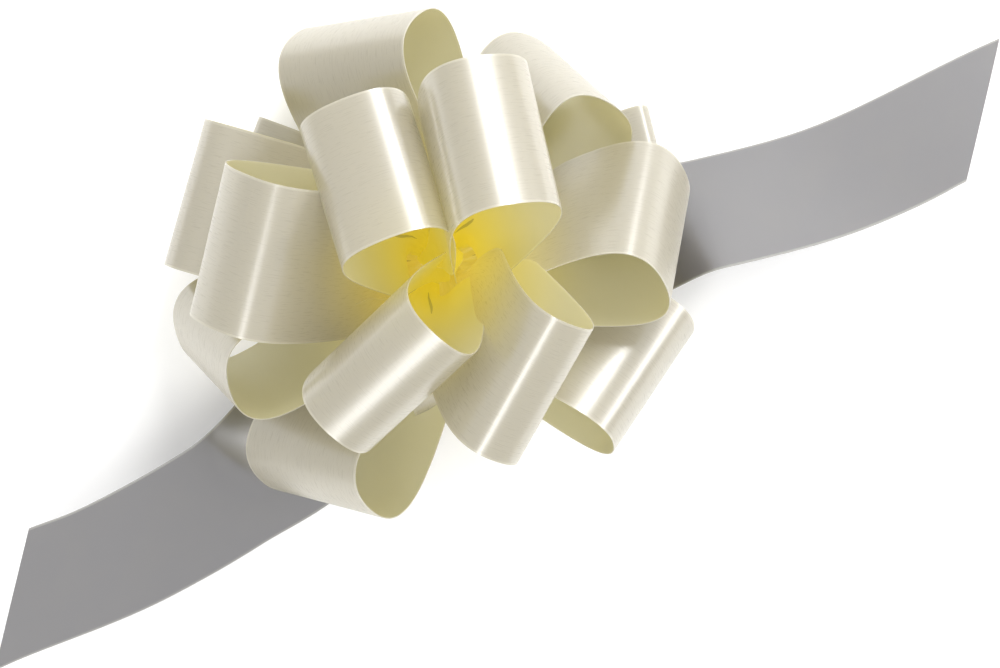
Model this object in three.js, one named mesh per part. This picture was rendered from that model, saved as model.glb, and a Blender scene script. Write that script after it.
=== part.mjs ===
// A pull bow: two plies of wide satin ribbon, welded together at narrow waists and gathered on two
// narrow pull ribbons, so that every length between two waists stands out as a left and a right loop.
// Millimetres, +Z up. The origin is on the axis of the gathered waists, on the face the bow rests on.
// +X runs along the two tails.

import * as THREE from 'three';

const DEG = Math.PI / 180;

// Ribbon
const RIBBON_WIDTH = 32;
const RIBBON_THICK = 0.4;
const NECK_WIDTH = 5;

// Gathered stack: the height of the first waist's middle, the rise from one waist to the next, and
// the size of the flattened sleeve that each waist forms round the pull ribbons
const STACK_BASE = 2.2;
const TIER_PITCH = 3.2;
const TIER_COUNT = 8;
const WAIST_HEIGHT = 1;
const WAIST_LENGTH = 4.6;
const WAIST_DEPTH = 2.8;
const SLOT_LENGTH = 3.4;
const SLOT_DEPTH = 1.6;
const WAIST_TURN = 22;
const WAIST_SEGMENTS = 5;

// Pull ribbons
const PULL_WIDTH = 2.4;
const PULL_THICK = 0.3;
const PULL_SPACING = 0.7;
const PULL_BOTTOM = 0.8;
const PULL_ABOVE_STACK = 1;

// Loops: where a loop leaves the stack, how long it takes to bend up and to twist, and its outline as
// the three inner control points of a cubic curve, in fractions of its length and fatness
const ROOT_RADIUS = 2;
const ROOT_SPREAD = 0.35;
const BEND_LENGTH = 5;
const TWIST_LENGTH = 24;
const OUTLINE_REACH = 0.5;
const OUTLINE_SWELL = 0.24;
const OUTLINE_NOSE = 0.88;
const STATIONS_PER_SIDE = 14;

// Each loop: its tier counted from the bottom, the azimuth, elevation and roll in degrees, the length
// from the stack to the tip, the neck over which the ribbon widens, and the fatness.
const LOOPS = [
  { name: 'back_left', tier: 1, azimuth: 130, elevation: 3, roll: 0, length: 44, neck: 40, fat: 8 },
  { name: 'back_right', tier: 1, azimuth: -7, elevation: 12, roll: -23, length: 48, neck: 60, fat: 8 },
  { name: 'behind_top', tier: 2, azimuth: 52, elevation: 2, roll: 0, length: 38, neck: 46, fat: 7 },
  { name: 'bottom', tier: 2, azimuth: -145, elevation: 20, roll: 42, length: 57, neck: 56, fat: 22 },
  { name: 'top', tier: 3, azimuth: 83, elevation: 19, roll: -18, length: 53, neck: 42, fat: 22 },
  { name: 'under_front', tier: 3, azimuth: -97, elevation: 16, roll: 0, length: 33, neck: 66, fat: 9 },
  { name: 'far_left', tier: 4, azimuth: 138, elevation: 12, roll: -14, length: 55, neck: 70, fat: 18 },
  { name: 'lower_right', tier: 4, azimuth: -57, elevation: 15, roll: -19, length: 52, neck: 60, fat: 21 },
  { name: 'upper_right', tier: 5, azimuth: 24, elevation: 9, roll: -47, length: 50, neck: 50, fat: 24 },
  { name: 'lower_left', tier: 5, azimuth: 177, elevation: 17, roll: 53, length: 54, neck: 46, fat: 19 },
  { name: 'right', tier: 6, azimuth: -20, elevation: 24, roll: -40, length: 50, neck: 50, fat: 22 },
  { name: 'left', tier: 6, azimuth: 151, elevation: 45, roll: -10, length: 57, neck: 50, fat: 20 },
  { name: 'front_upper_right', tier: 7, azimuth: 38, elevation: 65, roll: -56, length: 54, neck: 34, fat: 21 },
  { name: 'front_lower_left', tier: 7, azimuth: -142, elevation: 64, roll: 71, length: 54, neck: 54, fat: 18 },
  { name: 'front_upper_left', tier: 8, azimuth: 101, elevation: 65, roll: 70, length: 50, neck: 40, fat: 20 },
  { name: 'front_lower_right', tier: 8, azimuth: -77, elevation: 58, roll: 30, length: 52, neck: 60, fat: 15 },
];

// Tails: each lies flat under the stack, widens over the neck, then stands up on one long edge. A
// tail has its middle line's points, its tilt in degrees, where the tilt begins and ends along it,
// and the slant of its cut end, which is how far one corner runs ahead of the middle.
const TAIL_STATIONS = 24;
const TAIL_NECK = 26;
const TAIL_LIE = 0.2;
const SLANT_RUN = 3;
const TAILS = [
  {
    name: 'tail_right',
    route: [[-1.5, 0], [24, -9], [50, -15], [84, -22], [120, -23]],
    tilt: -41,
    tiltFrom: 29,
    tiltTo: 60,
    slant: 12,
  },
  {
    name: 'tail_left',
    route: [[-5, 0], [-26, -13], [-53, -23], [-86, -26], [-116, -24]],
    tilt: -34,
    tiltFrom: 29,
    tiltTo: 66,
    slant: 11,
  },
];

const ivorySatin = new THREE.MeshStandardMaterial({ color: 0xe6e0c4, roughness: 0.32, metalness: 0 });
const creamWeld = new THREE.MeshStandardMaterial({ color: 0xd9cf94, roughness: 0.45, metalness: 0 });

function smooth(x) {
  const t = Math.min(1, Math.max(0, x));
  return t * t * (3 - 2 * t);
}

// One closed body from a strip: its two long edges as points, made thick about the middle. Both broad
// faces are split along the same diagonal, so that a twisted strip keeps its thickness.
function ribbonSolid(leftEdge, rightEdge, thick) {
  const count = leftEdge.length;
  const positions = [];
  for (let i = 0; i < count; i++) {
    const before = Math.max(0, i - 1);
    const after = Math.min(count - 1, i + 1);
    const across = rightEdge[i].clone().sub(leftEdge[i]);
    const along = leftEdge[after].clone().sub(leftEdge[before]);
    along.add(rightEdge[after]).sub(rightEdge[before]);
    const half = along.cross(across).normalize().multiplyScalar(thick / 2);
    positions.push(...leftEdge[i].clone().add(half));
    positions.push(...rightEdge[i].clone().add(half));
    positions.push(...rightEdge[i].clone().sub(half));
    positions.push(...leftEdge[i].clone().sub(half));
  }
  const index = [0, 1, 2, 0, 2, 3];
  for (let i = 0; i + 1 < count; i++) {
    for (let side = 0; side < 4; side++) {
      const a = 4 * i + side;
      const b = 4 * i + (side + 1) % 4;
      if (side === 2) {
        index.push(a, a + 4, b, a + 4, b + 4, b);
      } else {
        index.push(a, b + 4, b, a, a + 4, b + 4);
      }
    }
  }
  const last = 4 * (count - 1);
  index.push(last, last + 2, last + 1, last, last + 3, last + 2);
  const geometry = new THREE.BufferGeometry();
  geometry.setAttribute('position', new THREE.Float32BufferAttribute(positions, 3));
  geometry.setIndex(index);
  geometry.computeVertexNormals();
  return geometry;
}

function waistHeight(number) {
  return STACK_BASE + TIER_PITCH * number;
}

function tierHeight(tier) {
  return waistHeight(tier - 0.5);
}

// A point of a loop: reach is the distance out along the loop's middle line, offset is across its
// thickness and side is along the ribbon's width.
function loopPoint(loop, reach, offset, side) {
  const azimuth = loop.azimuth * DEG;
  const elevation = loop.elevation * DEG;
  const outward = new THREE.Vector3(Math.cos(azimuth), Math.sin(azimuth), 0);
  const level = new THREE.Vector3(-Math.sin(azimuth), Math.cos(azimuth), 0);
  const up = new THREE.Vector3(0, 0, 1);
  const radius = BEND_LENGTH / elevation;
  const turned = elevation * Math.min(1, Math.max(0, reach / BEND_LENGTH));
  const direction = outward.clone().multiplyScalar(Math.cos(turned));
  direction.addScaledVector(up, Math.sin(turned));
  const normal = direction.clone().cross(level);
  const point = new THREE.Vector3(0, 0, tierHeight(loop.tier));
  point.addScaledVector(outward, ROOT_RADIUS + radius * Math.sin(turned));
  point.addScaledVector(up, radius * (1 - Math.cos(turned)));
  point.addScaledVector(direction, Math.max(0, reach - BEND_LENGTH));
  const roll = loop.roll * DEG * smooth(reach / TWIST_LENGTH);
  const widthAxis = level.clone().multiplyScalar(Math.cos(roll));
  widthAxis.addScaledVector(normal, Math.sin(roll));
  const thickAxis = widthAxis.clone().cross(direction);
  return point.addScaledVector(widthAxis, side).addScaledVector(thickAxis, offset);
}

// The outline of half a loop, from the stack to the tip, as a cubic curve in reach and offset.
function outline(loop, t) {
  const s = 1 - t;
  const reach = loop.length * (3 * OUTLINE_REACH * t * s * s + 3 * t * t * s + t * t * t);
  const swell = 3 * loop.fat * (OUTLINE_SWELL * t * s * s + OUTLINE_NOSE * t * t * s);
  return { reach, offset: ROOT_SPREAD * s * s * s + swell };
}

function halfWidth(distance, neck) {
  return (NECK_WIDTH + (RIBBON_WIDTH - NECK_WIDTH) * smooth(distance / neck)) / 2;
}

function loopEdge(loop, sideSign) {
  const points = [];
  for (let i = 0; i <= 2 * STATIONS_PER_SIDE; i++) {
    const face = i < STATIONS_PER_SIDE ? -1 : 1;
    const t = 1 - Math.abs(i - STATIONS_PER_SIDE) / STATIONS_PER_SIDE;
    const { reach, offset } = outline(loop, t);
    points.push(loopPoint(loop, reach, face * offset, sideSign * halfWidth(reach, loop.neck)));
  }
  return points;
}

function buildLoop(loop) {
  const geometry = ribbonSolid(loopEdge(loop, -1), loopEdge(loop, 1), RIBBON_THICK);
  const mesh = new THREE.Mesh(geometry, ivorySatin);
  mesh.name = `loop_${loop.name}`;
  return mesh;
}

// A tail lies flat where it leaves the stack, then stands up on one long edge as it tilts.
function tailEdge(tail, sideSign) {
  const knots = tail.route.map(([x, y]) => new THREE.Vector3(x, y, 0));
  const curve = new THREE.CatmullRomCurve3(knots, false, 'centripetal');
  const total = curve.getLength();
  const points = [];
  for (let i = 0; i <= TAIL_STATIONS; i++) {
    const share = i / TAIL_STATIONS;
    const distance = total * share;
    const middle = curve.getPointAt(share);
    const heading = curve.getTangentAt(share);
    const left = new THREE.Vector3(-heading.y, heading.x, 0);
    const tiltShare = smooth((distance - tail.tiltFrom) / (tail.tiltTo - tail.tiltFrom));
    const tilt = tail.tilt * DEG * tiltShare;
    const reach = halfWidth(distance, TAIL_NECK);
    const slantShare = smooth(1 - (total - distance) / (SLANT_RUN * tail.slant));
    const point = middle.clone();
    point.addScaledVector(left, sideSign * reach * Math.cos(tilt));
    point.addScaledVector(heading, sideSign * tail.slant * slantShare);
    point.z = RIBBON_THICK / 2 + TAIL_LIE * tiltShare;
    point.z += reach * (Math.abs(Math.sin(tilt)) + sideSign * Math.sin(tilt));
    points.push(point);
  }
  return points;
}

function buildTail(tail) {
  const geometry = ribbonSolid(tailEdge(tail, -1), tailEdge(tail, 1), RIBBON_THICK);
  const mesh = new THREE.Mesh(geometry, ivorySatin);
  mesh.name = tail.name;
  return mesh;
}

// A rounded rectangle, long along X, as a shape or as a hole.
function roundedOutline(path, length, depth) {
  const radius = depth / 2;
  const half = length / 2 - radius;
  path.moveTo(-half, -radius);
  path.lineTo(half, -radius);
  path.absarc(half, 0, radius, -Math.PI / 2, Math.PI / 2, false);
  path.lineTo(-half, radius);
  path.absarc(-half, 0, radius, Math.PI / 2, 1.5 * Math.PI, false);
  return path;
}

// A waist: the two plies, welded on both sides of the pull ribbons into a short flattened sleeve.
function buildWaist(number) {
  const shape = roundedOutline(new THREE.Shape(), WAIST_LENGTH, WAIST_DEPTH);
  shape.holes.push(roundedOutline(new THREE.Path(), SLOT_LENGTH, SLOT_DEPTH));
  const extrusion = { depth: WAIST_HEIGHT, bevelEnabled: false, curveSegments: WAIST_SEGMENTS };
  const geometry = new THREE.ExtrudeGeometry(shape, extrusion);
  const mesh = new THREE.Mesh(geometry, creamWeld);
  mesh.position.z = waistHeight(number) - WAIST_HEIGHT / 2;
  mesh.rotation.z = WAIST_TURN * DEG;
  mesh.name = `waist_${number}`;
  return mesh;
}

function buildPullRibbon(name, offset) {
  const height = waistHeight(TIER_COUNT) + PULL_ABOVE_STACK - PULL_BOTTOM;
  const geometry = new THREE.BoxGeometry(PULL_WIDTH, PULL_THICK, height);
  geometry.translate(0, offset, PULL_BOTTOM + height / 2);
  const mesh = new THREE.Mesh(geometry, ivorySatin);
  mesh.rotation.z = WAIST_TURN * DEG;
  mesh.name = name;
  return mesh;
}

const bow = new THREE.Group();
for (const loop of LOOPS) {
  bow.add(buildLoop(loop));
}
for (let number = 0; number <= TIER_COUNT; number++) {
  bow.add(buildWaist(number));
}
bow.add(buildPullRibbon('pull_ribbon_front', PULL_SPACING / 2));
bow.add(buildPullRibbon('pull_ribbon_back', -PULL_SPACING / 2));
for (const tail of TAILS) {
  bow.add(buildTail(tail));
}

export default bow;
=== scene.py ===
"""The looks of a ready-made gift bow: thin satin ribbon loops on a gathered stack, and two tails."""

import math

import bpy
import numpy as np
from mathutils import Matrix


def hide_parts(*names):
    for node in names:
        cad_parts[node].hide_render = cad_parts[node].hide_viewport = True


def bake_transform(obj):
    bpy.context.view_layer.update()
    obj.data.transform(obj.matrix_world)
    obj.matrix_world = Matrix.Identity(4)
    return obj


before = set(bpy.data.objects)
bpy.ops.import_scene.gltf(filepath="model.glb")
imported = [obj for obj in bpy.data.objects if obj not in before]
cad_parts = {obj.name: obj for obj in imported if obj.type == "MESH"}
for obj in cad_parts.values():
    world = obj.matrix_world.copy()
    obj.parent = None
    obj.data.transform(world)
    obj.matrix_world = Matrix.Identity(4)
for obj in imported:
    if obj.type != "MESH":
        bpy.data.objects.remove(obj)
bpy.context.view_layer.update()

MM = 0.001

# Ribbon and stack, in millimetres, as in the CAD
RIBBON_WIDTH = 32.0
RIBBON_THICK = 0.2
STACK_BASE = 2.2
TIER_PITCH = 3.2
TIER_COUNT = 8
ROOT_RADIUS = 2.0
ROOT_SPREAD = 0.35
BEND_LENGTH = 5.0
TWIST_LENGTH = 20.0
FRONT_TWIST_LENGTH = 12.0
FRONT_TIER = 7
OUTLINE_REACH = 0.5
OUTLINE_SWELL = 0.24
OUTLINE_NOSE = 0.88
NECK_WIDTH = 5.0
LOOP_STATIONS = 72
RIBBON_COLUMNS = 24
TAIL_STATIONS = 60

# name: tier, azimuth, elevation, roll, length, neck, fatness
LOOPS = {
    "back_left": (1, 133, 3, 0, 46, 24, 8),
    "back_right": (1, -3, 18, -37, 52, 28, 6),
    "behind_top": (2, 52, 2, 0, 38, 24, 7),
    "bottom": (2, -145, 20, 44, 57, 30, 24),
    "top": (3, 83, 20, -36, 54, 28, 24),
    "under_front": (3, -97, 16, 0, 28, 18, 8),
    "far_left": (4, 138, 12, -2, 55, 34, 16),
    "lower_right": (4, -57, 15, -19, 52, 30, 21),
    "upper_right": (5, 28, 10, -52, 48, 26, 25),
    "lower_left": (5, 176, 17, 62, 54, 28, 23),
    "right": (6, -18, 24, -46, 51, 28, 24),
    "left": (6, 150, 45, -15, 57, 24, 24),
    "front_upper_right": (7, 39, 65, -56, 58, 20, 24),
    "front_lower_left": (7, -142, 64, 71, 52, 20, 21),
    "front_upper_left": (8, 103, 65, 70, 47, 20, 25),
    "front_lower_right": (8, -81, 57, 30, 52, 22, 17),
}

TAILS = {
    "tail_right": dict(route=[(-1.5, 0), (24, -9), (50, -15), (84, -22), (120, -23)], tilt=-41,
                       start=29, end=60, slant=12),
    "tail_left": dict(route=[(-5, 0), (-26, -13), (-53, -23), (-86, -26), (-116, -24)], tilt=-34,
                      start=29, end=66, slant=11),
}
TAIL_NECK = 26.0
TAIL_LIE = 0.2
TAIL_GAP = 0.05
TAIL_RIPPLE = 0.35
RIPPLE_RUN = 17.0
SLANT_RUN = 3.0

# Creases where a loop is gathered at its weld: depth at the weld, depth gained over the run, count
PLEAT_START = 0.05
PLEAT_DEPTH = 0.15
PLEAT_RUN = 7.0
PLEAT_COUNT = 4

# How much painted warm bounce colour and painted glow the ribbon gets with distance from the stack
STACK_MIDDLE = 20.0
HEIGHT_SHARE = 0.25
CORE_FROM = 3.0
CORE_RUN = 30.0
TUCKED_FROM = 10.0
TUCKED_RUN = 30.0


def smooth(x):
    t = np.clip(x, 0.0, 1.0)
    return t * t * (3 - 2 * t)


def linear(red, green, blue):
    """A linear colour from its usual 0 to 255 values."""
    values = [c / 255 for c in (red, green, blue)]
    return tuple(c / 12.92 if c <= 0.04045 else ((c + 0.055) / 1.055) ** 2.4 for c in values) + (1.0,)


def tier_height(tier):
    return STACK_BASE + TIER_PITCH * (tier - 0.5)


# ---------------------------------------------------------------- camera, floor and light

IMAGE_RIGHT = (0.894, -0.448, 0.0)
IMAGE_UP = (0.448, 0.894, 0.0)


def make_camera():
    data = bpy.data.cameras.new("camera")
    data.sensor_width = 36
    data.lens = 98
    data.shift_x = 0.060
    data.shift_y = -0.072
    data.clip_start = 0.01
    camera = bpy.data.objects.new("camera", data)
    camera.location = (0, 0, 0.6)
    camera.rotation_euler = (0, 0, math.atan2(IMAGE_RIGHT[1], IMAGE_RIGHT[0]))
    bpy.context.scene.collection.objects.link(camera)
    bpy.context.scene.camera = camera


def place(right, up, height):
    """A point given along the picture's right and up and above the floor, in metres."""
    return tuple(right * IMAGE_RIGHT[k] + up * IMAGE_UP[k] for k in range(2)) + (height,)


def area_light(name, spot, size, power, colour, target=(0, 0, 0.02)):
    data = bpy.data.lights.new(name, "AREA")
    data.shape = "RECTANGLE"
    data.size, data.size_y = size
    data.energy = power
    data.color = colour
    light = bpy.data.objects.new(name, data)
    light.location = spot
    toward = [target[k] - spot[k] for k in range(3)]
    yaw = math.atan2(toward[1], toward[0])
    pitch = math.atan2(math.hypot(toward[0], toward[1]), -toward[2])
    light.rotation_euler = (pitch, 0, yaw - math.pi / 2)
    bpy.context.scene.collection.objects.link(light)


def make_stage():
    bpy.ops.mesh.primitive_plane_add(size=6, location=(0, 0, -0.0004))
    floor = bpy.context.object
    floor.name = "floor"
    material = bpy.data.materials.new("floor")
    material.use_nodes = True
    shader = material.node_tree.nodes["Principled BSDF"]
    shader.inputs["Base Color"].default_value = (0.93, 0.93, 0.93, 1)
    shader.inputs["Roughness"].default_value = 0.9
    shader.inputs["Specular IOR Level"].default_value = 0.1
    shader.inputs["Emission Color"].default_value = (1, 1, 1, 1)
    shader.inputs["Emission Strength"].default_value = 0.12
    floor.data.materials.append(material)
    world = bpy.data.worlds.new("soft surround")
    world.use_nodes = True
    background = world.node_tree.nodes["Background"]
    background.inputs["Color"].default_value = (1, 1, 1, 1)
    background.inputs["Strength"].default_value = 0.84
    bpy.context.scene.world = world
    bpy.context.scene.view_settings.view_transform = "Standard"
    area_light("strip above", place(0.2, 0.7, 0.56), (0.14, 0.7), 6.5, (1, 1, 1))
    area_light("strip below", place(-0.2, -0.54, 0.65), (0.19, 0.6), 2.2, (1, 1, 1))
    area_light("strip right", place(0.6, 0.12, 0.4), (0.6, 0.1), 2, (1, 1, 1))
    area_light("overhead", place(0.1, 0.3, 1.3), (1.6, 1.6), 1, (1, 0.99, 0.97))


# ---------------------------------------------------------------- materials


class Nodes:
    """Adds and links the nodes of one material."""

    def __init__(self, name):
        self.material = bpy.data.materials.new(name)
        self.material.use_nodes = True
        self.tree = self.material.node_tree
        self.shader = self.tree.nodes["Principled BSDF"]
        self.output = self.tree.nodes["Material Output"]

    def add(self, kind, settings=(), **inputs):
        node = self.tree.nodes.new(kind)
        for key, value in dict(settings).items():
            setattr(node, key, value)
        for key, value in inputs.items():
            self.put(node.inputs[key.replace("_", " ")], value)
        return node

    def put(self, socket, value):
        if isinstance(value, bpy.types.NodeSocket):
            self.tree.links.new(value, socket)
        else:
            socket.default_value = value

    def math(self, operation, a, b=0.0):
        node = self.tree.nodes.new("ShaderNodeMath")
        node.operation = operation
        self.put(node.inputs[0], a)
        self.put(node.inputs[1], b)
        return node.outputs[0]

    def mix(self, factor, a, b):
        node = self.tree.nodes.new("ShaderNodeMix")
        node.data_type = "RGBA"
        self.put(node.inputs[0], factor)
        self.put(node.inputs[6], a)
        self.put(node.inputs[7], b)
        return node.outputs[2]


# The slit that the pull ribbon runs through, beside each weld, in metres; it is not cut, but painted as a
# dark lens of shade
SLIT_WIDTH = 0.0013
SLIT_LENGTH = 0.009
SLIT_MIDDLE = 0.010
EDGE_STRIPE = 0.45 * MM


def ribbon_material(name, pale, warm_bounce, roughness, glow, sheer, anisotropic, painted_glow, coat):
    """Satin ribbon. pale is its colour at the tip of a loop, and warm_bounce a painted warm tint deep in the
    bow that stands in for light bounced from ribbon to ribbon. sheer is how much light comes through, in the
    glow colour, painted_glow is the strength of a painted glow, light the ribbon gives off inside the bow,
    and coat is its gloss."""
    nodes = Nodes(name)
    core = nodes.add("ShaderNodeAttribute", {"attribute_name": "core"}).outputs["Fac"]
    place_on = nodes.add("ShaderNodeUVMap", {"uv_map": "ribbon"}).outputs["UV"]
    stretch = nodes.add("ShaderNodeMapping", Vector=place_on, Scale=(5200, 260, 1)).outputs[0]
    threads = nodes.add("ShaderNodeTexNoise", Vector=stretch, Scale=1.0, Detail=2.0).outputs["Fac"]
    cross = nodes.add("ShaderNodeMapping", Vector=place_on, Scale=(30, 420, 1)).outputs[0]
    bars = nodes.add("ShaderNodeTexNoise", Vector=cross, Scale=1.0, Detail=3.0).outputs["Fac"]
    clouds = nodes.add("ShaderNodeTexNoise", Vector=place_on, Scale=90.0, Detail=2.0).outputs["Fac"]
    # Painted bounce light: the colour turns from pale to a warm yellow towards the stack.
    colour = nodes.mix(core, pale, warm_bounce)
    tone = nodes.math("ADD", nodes.math("MULTIPLY", bars, 0.012), nodes.math("MULTIPLY", clouds, 0.06))
    tone = nodes.math("SUBTRACT", tone, 0.03)
    darker = nodes.mix(nodes.math("MULTIPLY", tone, 2.0), colour, linear(150, 140, 110))
    across = nodes.add("ShaderNodeSeparateXYZ", Vector=place_on).outputs["X"]
    # A lighter stripe along both long edges of the ribbon.
    from_edge = nodes.math("SUBTRACT", RIBBON_WIDTH / 2 * MM, nodes.math("ABSOLUTE", across))
    edge_stripe = nodes.math("LESS_THAN", from_edge, EDGE_STRIPE)
    lit = nodes.mix(nodes.math("MULTIPLY", edge_stripe, 0.2), darker, linear(240, 237, 222))
    along = nodes.add("ShaderNodeAttribute", {"attribute_name": "from_root"}).outputs["Fac"]
    # Painted shade: a dark lens at each slit, where the gap would show shadow.
    aside = nodes.math("POWER", nodes.math("DIVIDE", nodes.math("ABSOLUTE", across), SLIT_WIDTH / 2), 2.0)
    ahead = nodes.math("ABSOLUTE", nodes.math("SUBTRACT", along, SLIT_MIDDLE))
    ahead = nodes.math("POWER", nodes.math("DIVIDE", ahead, SLIT_LENGTH / 2), 2.0)
    slit = nodes.math("LESS_THAN", nodes.math("ADD", aside, ahead), 1.0)
    lit = nodes.mix(nodes.math("MULTIPLY", slit, 0.9), lit, linear(84, 72, 22))
    relief = nodes.math("ADD", nodes.math("MULTIPLY", threads, 0.5), nodes.math("MULTIPLY", bars, 0.5))
    bump = nodes.add("ShaderNodeBump", Height=relief, Strength=0.006, Distance=0.0002).outputs[0]
    shader = nodes.shader
    nodes.put(shader.inputs["Base Color"], lit)
    nodes.put(shader.inputs["Normal"], bump)
    rough = nodes.math("ADD", nodes.math("MULTIPLY", threads, 0.06), roughness - 0.03)
    nodes.put(shader.inputs["Roughness"], rough)
    shader.inputs["Anisotropic"].default_value = anisotropic
    shader.inputs["Specular IOR Level"].default_value = 1.0
    shader.inputs["Sheen Weight"].default_value = 0.06
    shader.inputs["Coat Weight"].default_value = coat
    shader.inputs["Coat Roughness"].default_value = 0.32
    shader.inputs["Coat IOR"].default_value = 2.5
    tangent = nodes.add("ShaderNodeTangent", {"direction_type": "UV_MAP", "uv_map": "ribbon"}).outputs[0]
    nodes.put(shader.inputs["Tangent"], tangent)
    # Painted glow: the ribbon gives off light, more near the stack, in place of light caught between plies.
    nodes.put(shader.inputs["Emission Color"], nodes.mix(core, glow, warm_bounce))
    tucked = nodes.add("ShaderNodeAttribute", {"attribute_name": "tucked"}).outputs["Fac"]
    within = nodes.math("MULTIPLY", nodes.math("ADD", nodes.math("MULTIPLY", tucked, 0.55), 0.45), painted_glow)
    nodes.put(shader.inputs["Emission Strength"], within)
    through = nodes.add("ShaderNodeBsdfTranslucent", Color=nodes.mix(core, glow, warm_bounce)).outputs[0]
    blend = nodes.add("ShaderNodeMixShader", Fac=sheer)
    nodes.put(blend.inputs[1], shader.outputs[0])
    nodes.put(blend.inputs[2], through)
    nodes.put(nodes.output.inputs["Surface"], blend.outputs[0])
    return nodes.material


make_camera()
make_stage()

OUTSIDE = ribbon_material("satin_outside", linear(148, 143, 131), linear(228, 214, 100), 0.28,
                          linear(228, 221, 196), 0.28, 0.45, 0.3, 1.0)
# The inside faces are the same ribbon as the outside: their brighter, yellower colour is painted light,
# standing in for light that comes through and bounces between the plies.
INSIDE = ribbon_material("satin_inside", linear(206, 202, 174), linear(230, 216, 62), 0.42,
                         linear(230, 225, 180), 0.33, 0.3, 0.37, 0.4)
# The tails are the same ribbon as the loops; their darker, greyer colour is painted shade.
SHADED_TAIL = ribbon_material("satin_tail_shaded", linear(99, 97, 99), linear(108, 102, 66), 0.32,
                       linear(150, 148, 148), 0.12, 0.4, 0.0, 0.8)
# The welds are the same ribbon; their deep yellow is painted bounce light, and they give off a strong painted
# glow.
WELD = ribbon_material("welded_satin", linear(232, 214, 90), linear(232, 214, 90), 0.5,
                       linear(236, 214, 60), 0.1, 0.0, 0.8, 0.3)


# ---------------------------------------------------------------- ribbon meshes


def shell(name, points, outside_sign, materials, thick=RIBBON_THICK, welded_ends=2):
    """A closed thin ribbon from a grid of points in millimetres, along by across. The side that
    outside_sign chooses has the first material and the other side the second. welded_ends is 2 for a
    loop, which has a slit near both ends, and 1 for a tail."""
    along = np.gradient(points, axis=0)
    across = np.gradient(points, axis=1)
    normal = np.cross(along, across) * outside_sign
    normal /= np.linalg.norm(normal, axis=2, keepdims=True)
    rows, columns = points.shape[:2]
    half = normal * thick / 2
    verts = np.concatenate([(points + half).reshape(-1, 3), (points - half).reshape(-1, 3)]) * MM
    count = rows * columns

    def at(i, j, under=0):
        return under * count + i * columns + j

    faces, slots = [], []
    for i in range(rows - 1):
        for j in range(columns - 1):
            quad = [at(i, j), at(i + 1, j), at(i + 1, j + 1), at(i, j + 1)]
            if outside_sign < 0:
                quad.reverse()
            faces.append(quad)
            slots.append(0)
            faces.append([v + count for v in reversed(quad)])
            slots.append(1)
    rim = [(i, 0) for i in range(rows)] + [(rows - 1, j) for j in range(1, columns)]
    rim += [(i, columns - 1) for i in range(rows - 2, -1, -1)] + [(0, j) for j in range(columns - 2, 0, -1)]
    for k, (i, j) in enumerate(rim):
        m, n = rim[(k + 1) % len(rim)]
        quad = [at(i, j), at(i, j, 1), at(m, n, 1), at(m, n)]
        if outside_sign < 0:
            quad.reverse()
        faces.append(quad)
        slots.append(0)
    mesh = bpy.data.meshes.new(name)
    mesh.from_pydata([tuple(v) for v in verts], [], faces)
    mesh.polygons.foreach_set("material_index", slots)
    mesh.polygons.foreach_set("use_smooth", [True] * len(faces))
    step = np.linalg.norm(np.diff(points[:, columns // 2], axis=0), axis=1)
    run = np.concatenate([[0], np.cumsum(step)]) * MM
    side = np.linspace(-0.5, 0.5, columns) * RIBBON_WIDTH * MM
    grid = np.stack(np.meshgrid(run, side, indexing="ij"), axis=-1).reshape(-1, 2)[:, ::-1]
    flat = np.concatenate([grid, grid])
    layer = mesh.uv_layers.new(name="ribbon")
    corner = np.zeros(len(mesh.loops), np.int32)
    mesh.loops.foreach_get("vertex_index", corner)
    layer.data.foreach_set("uv", flat[corner].astype(np.float32).ravel())
    x, y, z = verts.T / MM
    # core weighs the painted warm bounce colour and tucked the painted glow; both grow towards the stack.
    distance = np.sqrt(x * x + y * y + HEIGHT_SHARE * (z - STACK_MIDDLE) ** 2)
    core = 1 - smooth((distance - CORE_FROM) / CORE_RUN)
    mesh.attributes.new("core", "FLOAT", "POINT").data.foreach_set("value", core.astype(np.float32))
    tucked = 1 - smooth((distance - TUCKED_FROM) / TUCKED_RUN)
    mesh.attributes.new("tucked", "FLOAT", "POINT").data.foreach_set("value", tucked.astype(np.float32))
    from_root = np.minimum(run, run[-1] - run) if welded_ends == 2 else run
    from_root = np.tile(np.repeat(from_root, columns), 2).astype(np.float32)
    mesh.attributes.new("from_root", "FLOAT", "POINT").data.foreach_set("value", from_root)
    mesh.validate()
    mesh.update()
    mesh.set_sharp_from_angle(angle=math.radians(50))
    obj = bpy.data.objects.new(name, mesh)
    for material in materials:
        mesh.materials.append(material)
    bpy.context.scene.collection.objects.link(obj)
    return obj, run[-1]


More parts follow.
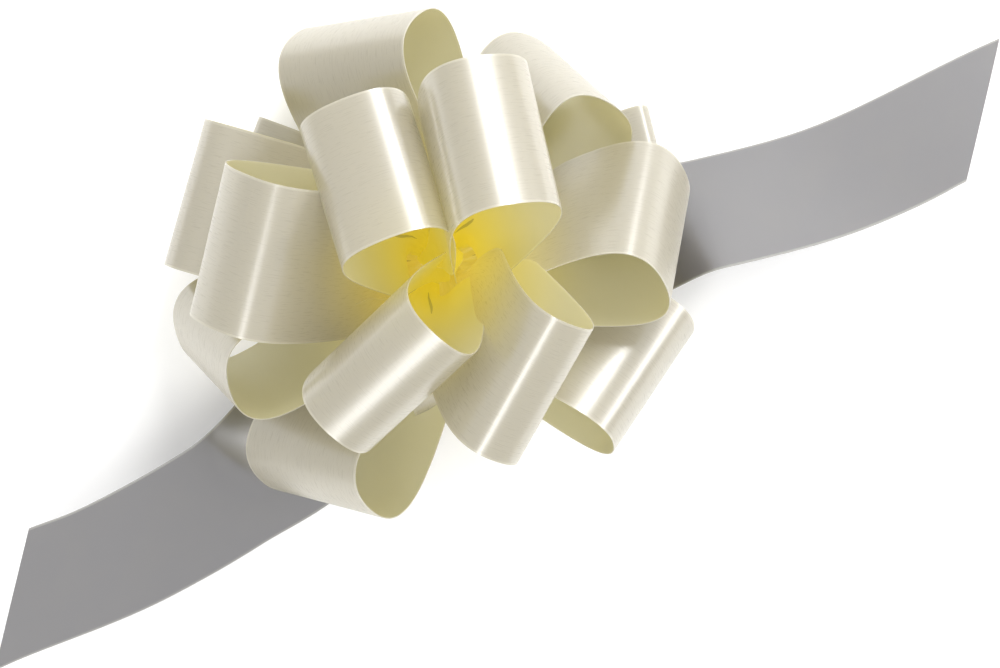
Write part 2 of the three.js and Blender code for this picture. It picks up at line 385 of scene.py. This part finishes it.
def loop_grid(tier, azimuth, elevation, roll, length, neck, fat):
    """The middle surface of a loop as a grid, and the same grid with no thickness between its plies."""
    azimuth, elevation, roll = (math.radians(a) for a in (azimuth, elevation, roll))
    t = 1 - np.abs(np.linspace(-1, 1, LOOP_STATIONS + 1))
    face = np.where(np.arange(LOOP_STATIONS + 1) < LOOP_STATIONS / 2, -1.0, 1.0)
    s = 1 - t
    reach = length * (3 * OUTLINE_REACH * t * s * s + 3 * t * t * s + t ** 3)
    swell = 3 * fat * (OUTLINE_SWELL * t * s * s + OUTLINE_NOSE * t * t * s)
    offset = face * (ROOT_SPREAD * s ** 3 + swell)
    u = np.linspace(-0.5, 0.5, RIBBON_COLUMNS + 1)
    outward = np.array([math.cos(azimuth), math.sin(azimuth), 0])
    level = np.array([-math.sin(azimuth), math.cos(azimuth), 0])
    up = np.array([0, 0, 1.0])
    radius = BEND_LENGTH / elevation
    turned = elevation * np.clip(reach / BEND_LENGTH, 0, 1)
    direction = np.cos(turned)[:, None] * outward + np.sin(turned)[:, None] * up
    normal = np.cross(direction, level)
    spine = np.array([0, 0, tier_height(tier)]) + (ROOT_RADIUS + radius * np.sin(turned))[:, None] * outward
    spine = spine + (radius * (1 - np.cos(turned)))[:, None] * up
    spine = spine + np.maximum(0, reach - BEND_LENGTH)[:, None] * direction
    run = FRONT_TWIST_LENGTH if tier >= FRONT_TIER else TWIST_LENGTH
    twist = roll * smooth(reach / run)
    width_axis = np.cos(twist)[:, None] * level + np.sin(twist)[:, None] * normal
    thick_axis = np.cross(width_axis, direction)
    opened = smooth(reach / neck)
    width = NECK_WIDTH + (RIBBON_WIDTH - NECK_WIDTH) * opened
    pleat = (PLEAT_START + PLEAT_DEPTH * smooth(reach / PLEAT_RUN)) * (1 - smooth(reach / neck))
    fold = pleat[:, None] * np.cos(2 * math.pi * PLEAT_COUNT * u)[None, :]
    grid = spine[:, None] + (width[:, None] * u[None, :])[..., None] * width_axis[:, None]
    middle = grid.copy()
    grid = grid + (offset[:, None] + fold)[..., None] * thick_axis[:, None]
    return grid, middle


def outside_of(grid, middle):
    """1 if the grid's normal points out of the loop, else -1."""
    row = len(grid) // 4
    along = grid[row + 1, 5] - grid[row - 1, 5]
    across = grid[row, 6] - grid[row, 4]
    away = grid[row, 5] - middle[row, 5]
    return 1.0 if np.dot(np.cross(along, across), away) > 0 else -1.0


def make_loop(name, numbers):
    grid, middle = loop_grid(*numbers)
    node = "loop_" + name
    obj, run = shell(node + "_satin", grid, outside_of(grid, middle), [OUTSIDE, INSIDE])
    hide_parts(node)
    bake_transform(obj)


def catmull(knots, count):
    """Points and headings along a smooth line through the knots, evenly spaced."""
    knots = np.array(knots, float)
    ends = np.vstack([2 * knots[0] - knots[1], knots, 2 * knots[-1] - knots[-2]])
    fine = []
    for k in range(1, len(ends) - 2):
        p0, p1, p2, p3 = ends[k - 1:k + 3]
        for t in np.linspace(0, 1, 60, endpoint=False):
            fine.append(0.5 * (2 * p1 + (p2 - p0) * t + (2 * p0 - 5 * p1 + 4 * p2 - p3) * t * t
                               + (3 * p1 - p0 - 3 * p2 + p3) * t ** 3))
    fine = np.array(fine + [knots[-1]])
    run = np.concatenate([[0], np.cumsum(np.linalg.norm(np.diff(fine, axis=0), axis=1))])
    even = np.linspace(0, run[-1], count)
    line = np.stack([np.interp(even, run, fine[:, 0]), np.interp(even, run, fine[:, 1])], axis=1)
    heading = np.gradient(line, axis=0)
    heading /= np.linalg.norm(heading, axis=1, keepdims=True)
    return line, heading, even


def make_tail(name, tail):
    line, heading, even = catmull(tail["route"], TAIL_STATIONS + 1)
    total = even[-1]
    share = smooth((even - tail["start"]) / (tail["end"] - tail["start"]))
    tilt = math.radians(tail["tilt"]) * share
    half = (NECK_WIDTH + (RIBBON_WIDTH - NECK_WIDTH) * smooth(even / TAIL_NECK)) / 2
    slant = tail["slant"] * smooth(1 - (total - even) / (SLANT_RUN * tail["slant"]))
    left = np.stack([-heading[:, 1], heading[:, 0]], axis=1)
    u = np.linspace(-1, 1, RIBBON_COLUMNS + 1)
    flat = line[:, None] + (half * np.cos(tilt))[:, None, None] * u[None, :, None] * left[:, None]
    flat = flat + (slant[:, None] * u[None, :])[..., None] * heading[:, None]
    rise = half * (np.abs(np.sin(tilt)))
    height = (RIBBON_THICK / 2 + TAIL_GAP + TAIL_LIE * share + rise)[:, None]
    height = height + (half * np.sin(tilt))[:, None] * u[None, :]
    ripple = TAIL_RIPPLE * share[:, None] * np.sin(even / RIPPLE_RUN)[:, None] * (1 - u[None, :] ** 2)
    grid = np.concatenate([flat, (height + ripple)[..., None]], axis=2)
    up = 1.0 if heading[0, 0] < 0 else -1.0
    obj, run = shell(name + "_satin", grid, up, [SHADED_TAIL, SHADED_TAIL], welded_ends=1)
    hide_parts(name)
    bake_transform(obj)


for loop_name, loop_numbers in LOOPS.items():
    make_loop(loop_name, loop_numbers)
for tail_name, tail_numbers in TAILS.items():
    make_tail(tail_name, tail_numbers)

PULL_WIDTH = 2.4
PULL_FLAT = 9.6
PULL_SPACING = 0.7
PULL_BOTTOM = 0.8
PULL_THICK = 0.08
PULL_DEPTH = 0.42
PULL_ABOVE = 1.0
PULL_STATIONS = 60
WAIST_TURN = math.radians(22)


def make_pull_ribbon(name, offset):
    """A pull ribbon folded lengthwise into four plies where it runs through the waists."""
    top = STACK_BASE + TIER_PITCH * TIER_COUNT + PULL_ABOVE
    heights = np.linspace(PULL_BOTTOM, top, PULL_STATIONS)
    t = np.linspace(0, 1, RIBBON_COLUMNS + 1)
    plies = PULL_FLAT / PULL_WIDTH
    zigzag = PULL_WIDTH * (np.abs((t * plies) % 2 - 1) - 0.5)
    depth = offset + PULL_DEPTH * (t - 0.5)
    x = zigzag * math.cos(WAIST_TURN) - depth * math.sin(WAIST_TURN)
    y = zigzag * math.sin(WAIST_TURN) + depth * math.cos(WAIST_TURN)
    grid = np.zeros((len(heights), len(t), 3))
    grid[..., 0] = x
    grid[..., 1] = y
    grid[..., 2] = heights[:, None]
    obj, run = shell(name + "_satin", grid, 1.0, [OUTSIDE, OUTSIDE], PULL_THICK)
    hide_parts(name)
    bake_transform(obj)


make_pull_ribbon("pull_ribbon_front", PULL_SPACING / 2)
make_pull_ribbon("pull_ribbon_back", -PULL_SPACING / 2)

for number in range(TIER_COUNT + 1):
    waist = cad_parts[f"waist_{number}"]
    waist.data.materials.clear()
    waist.data.materials.append(WELD)
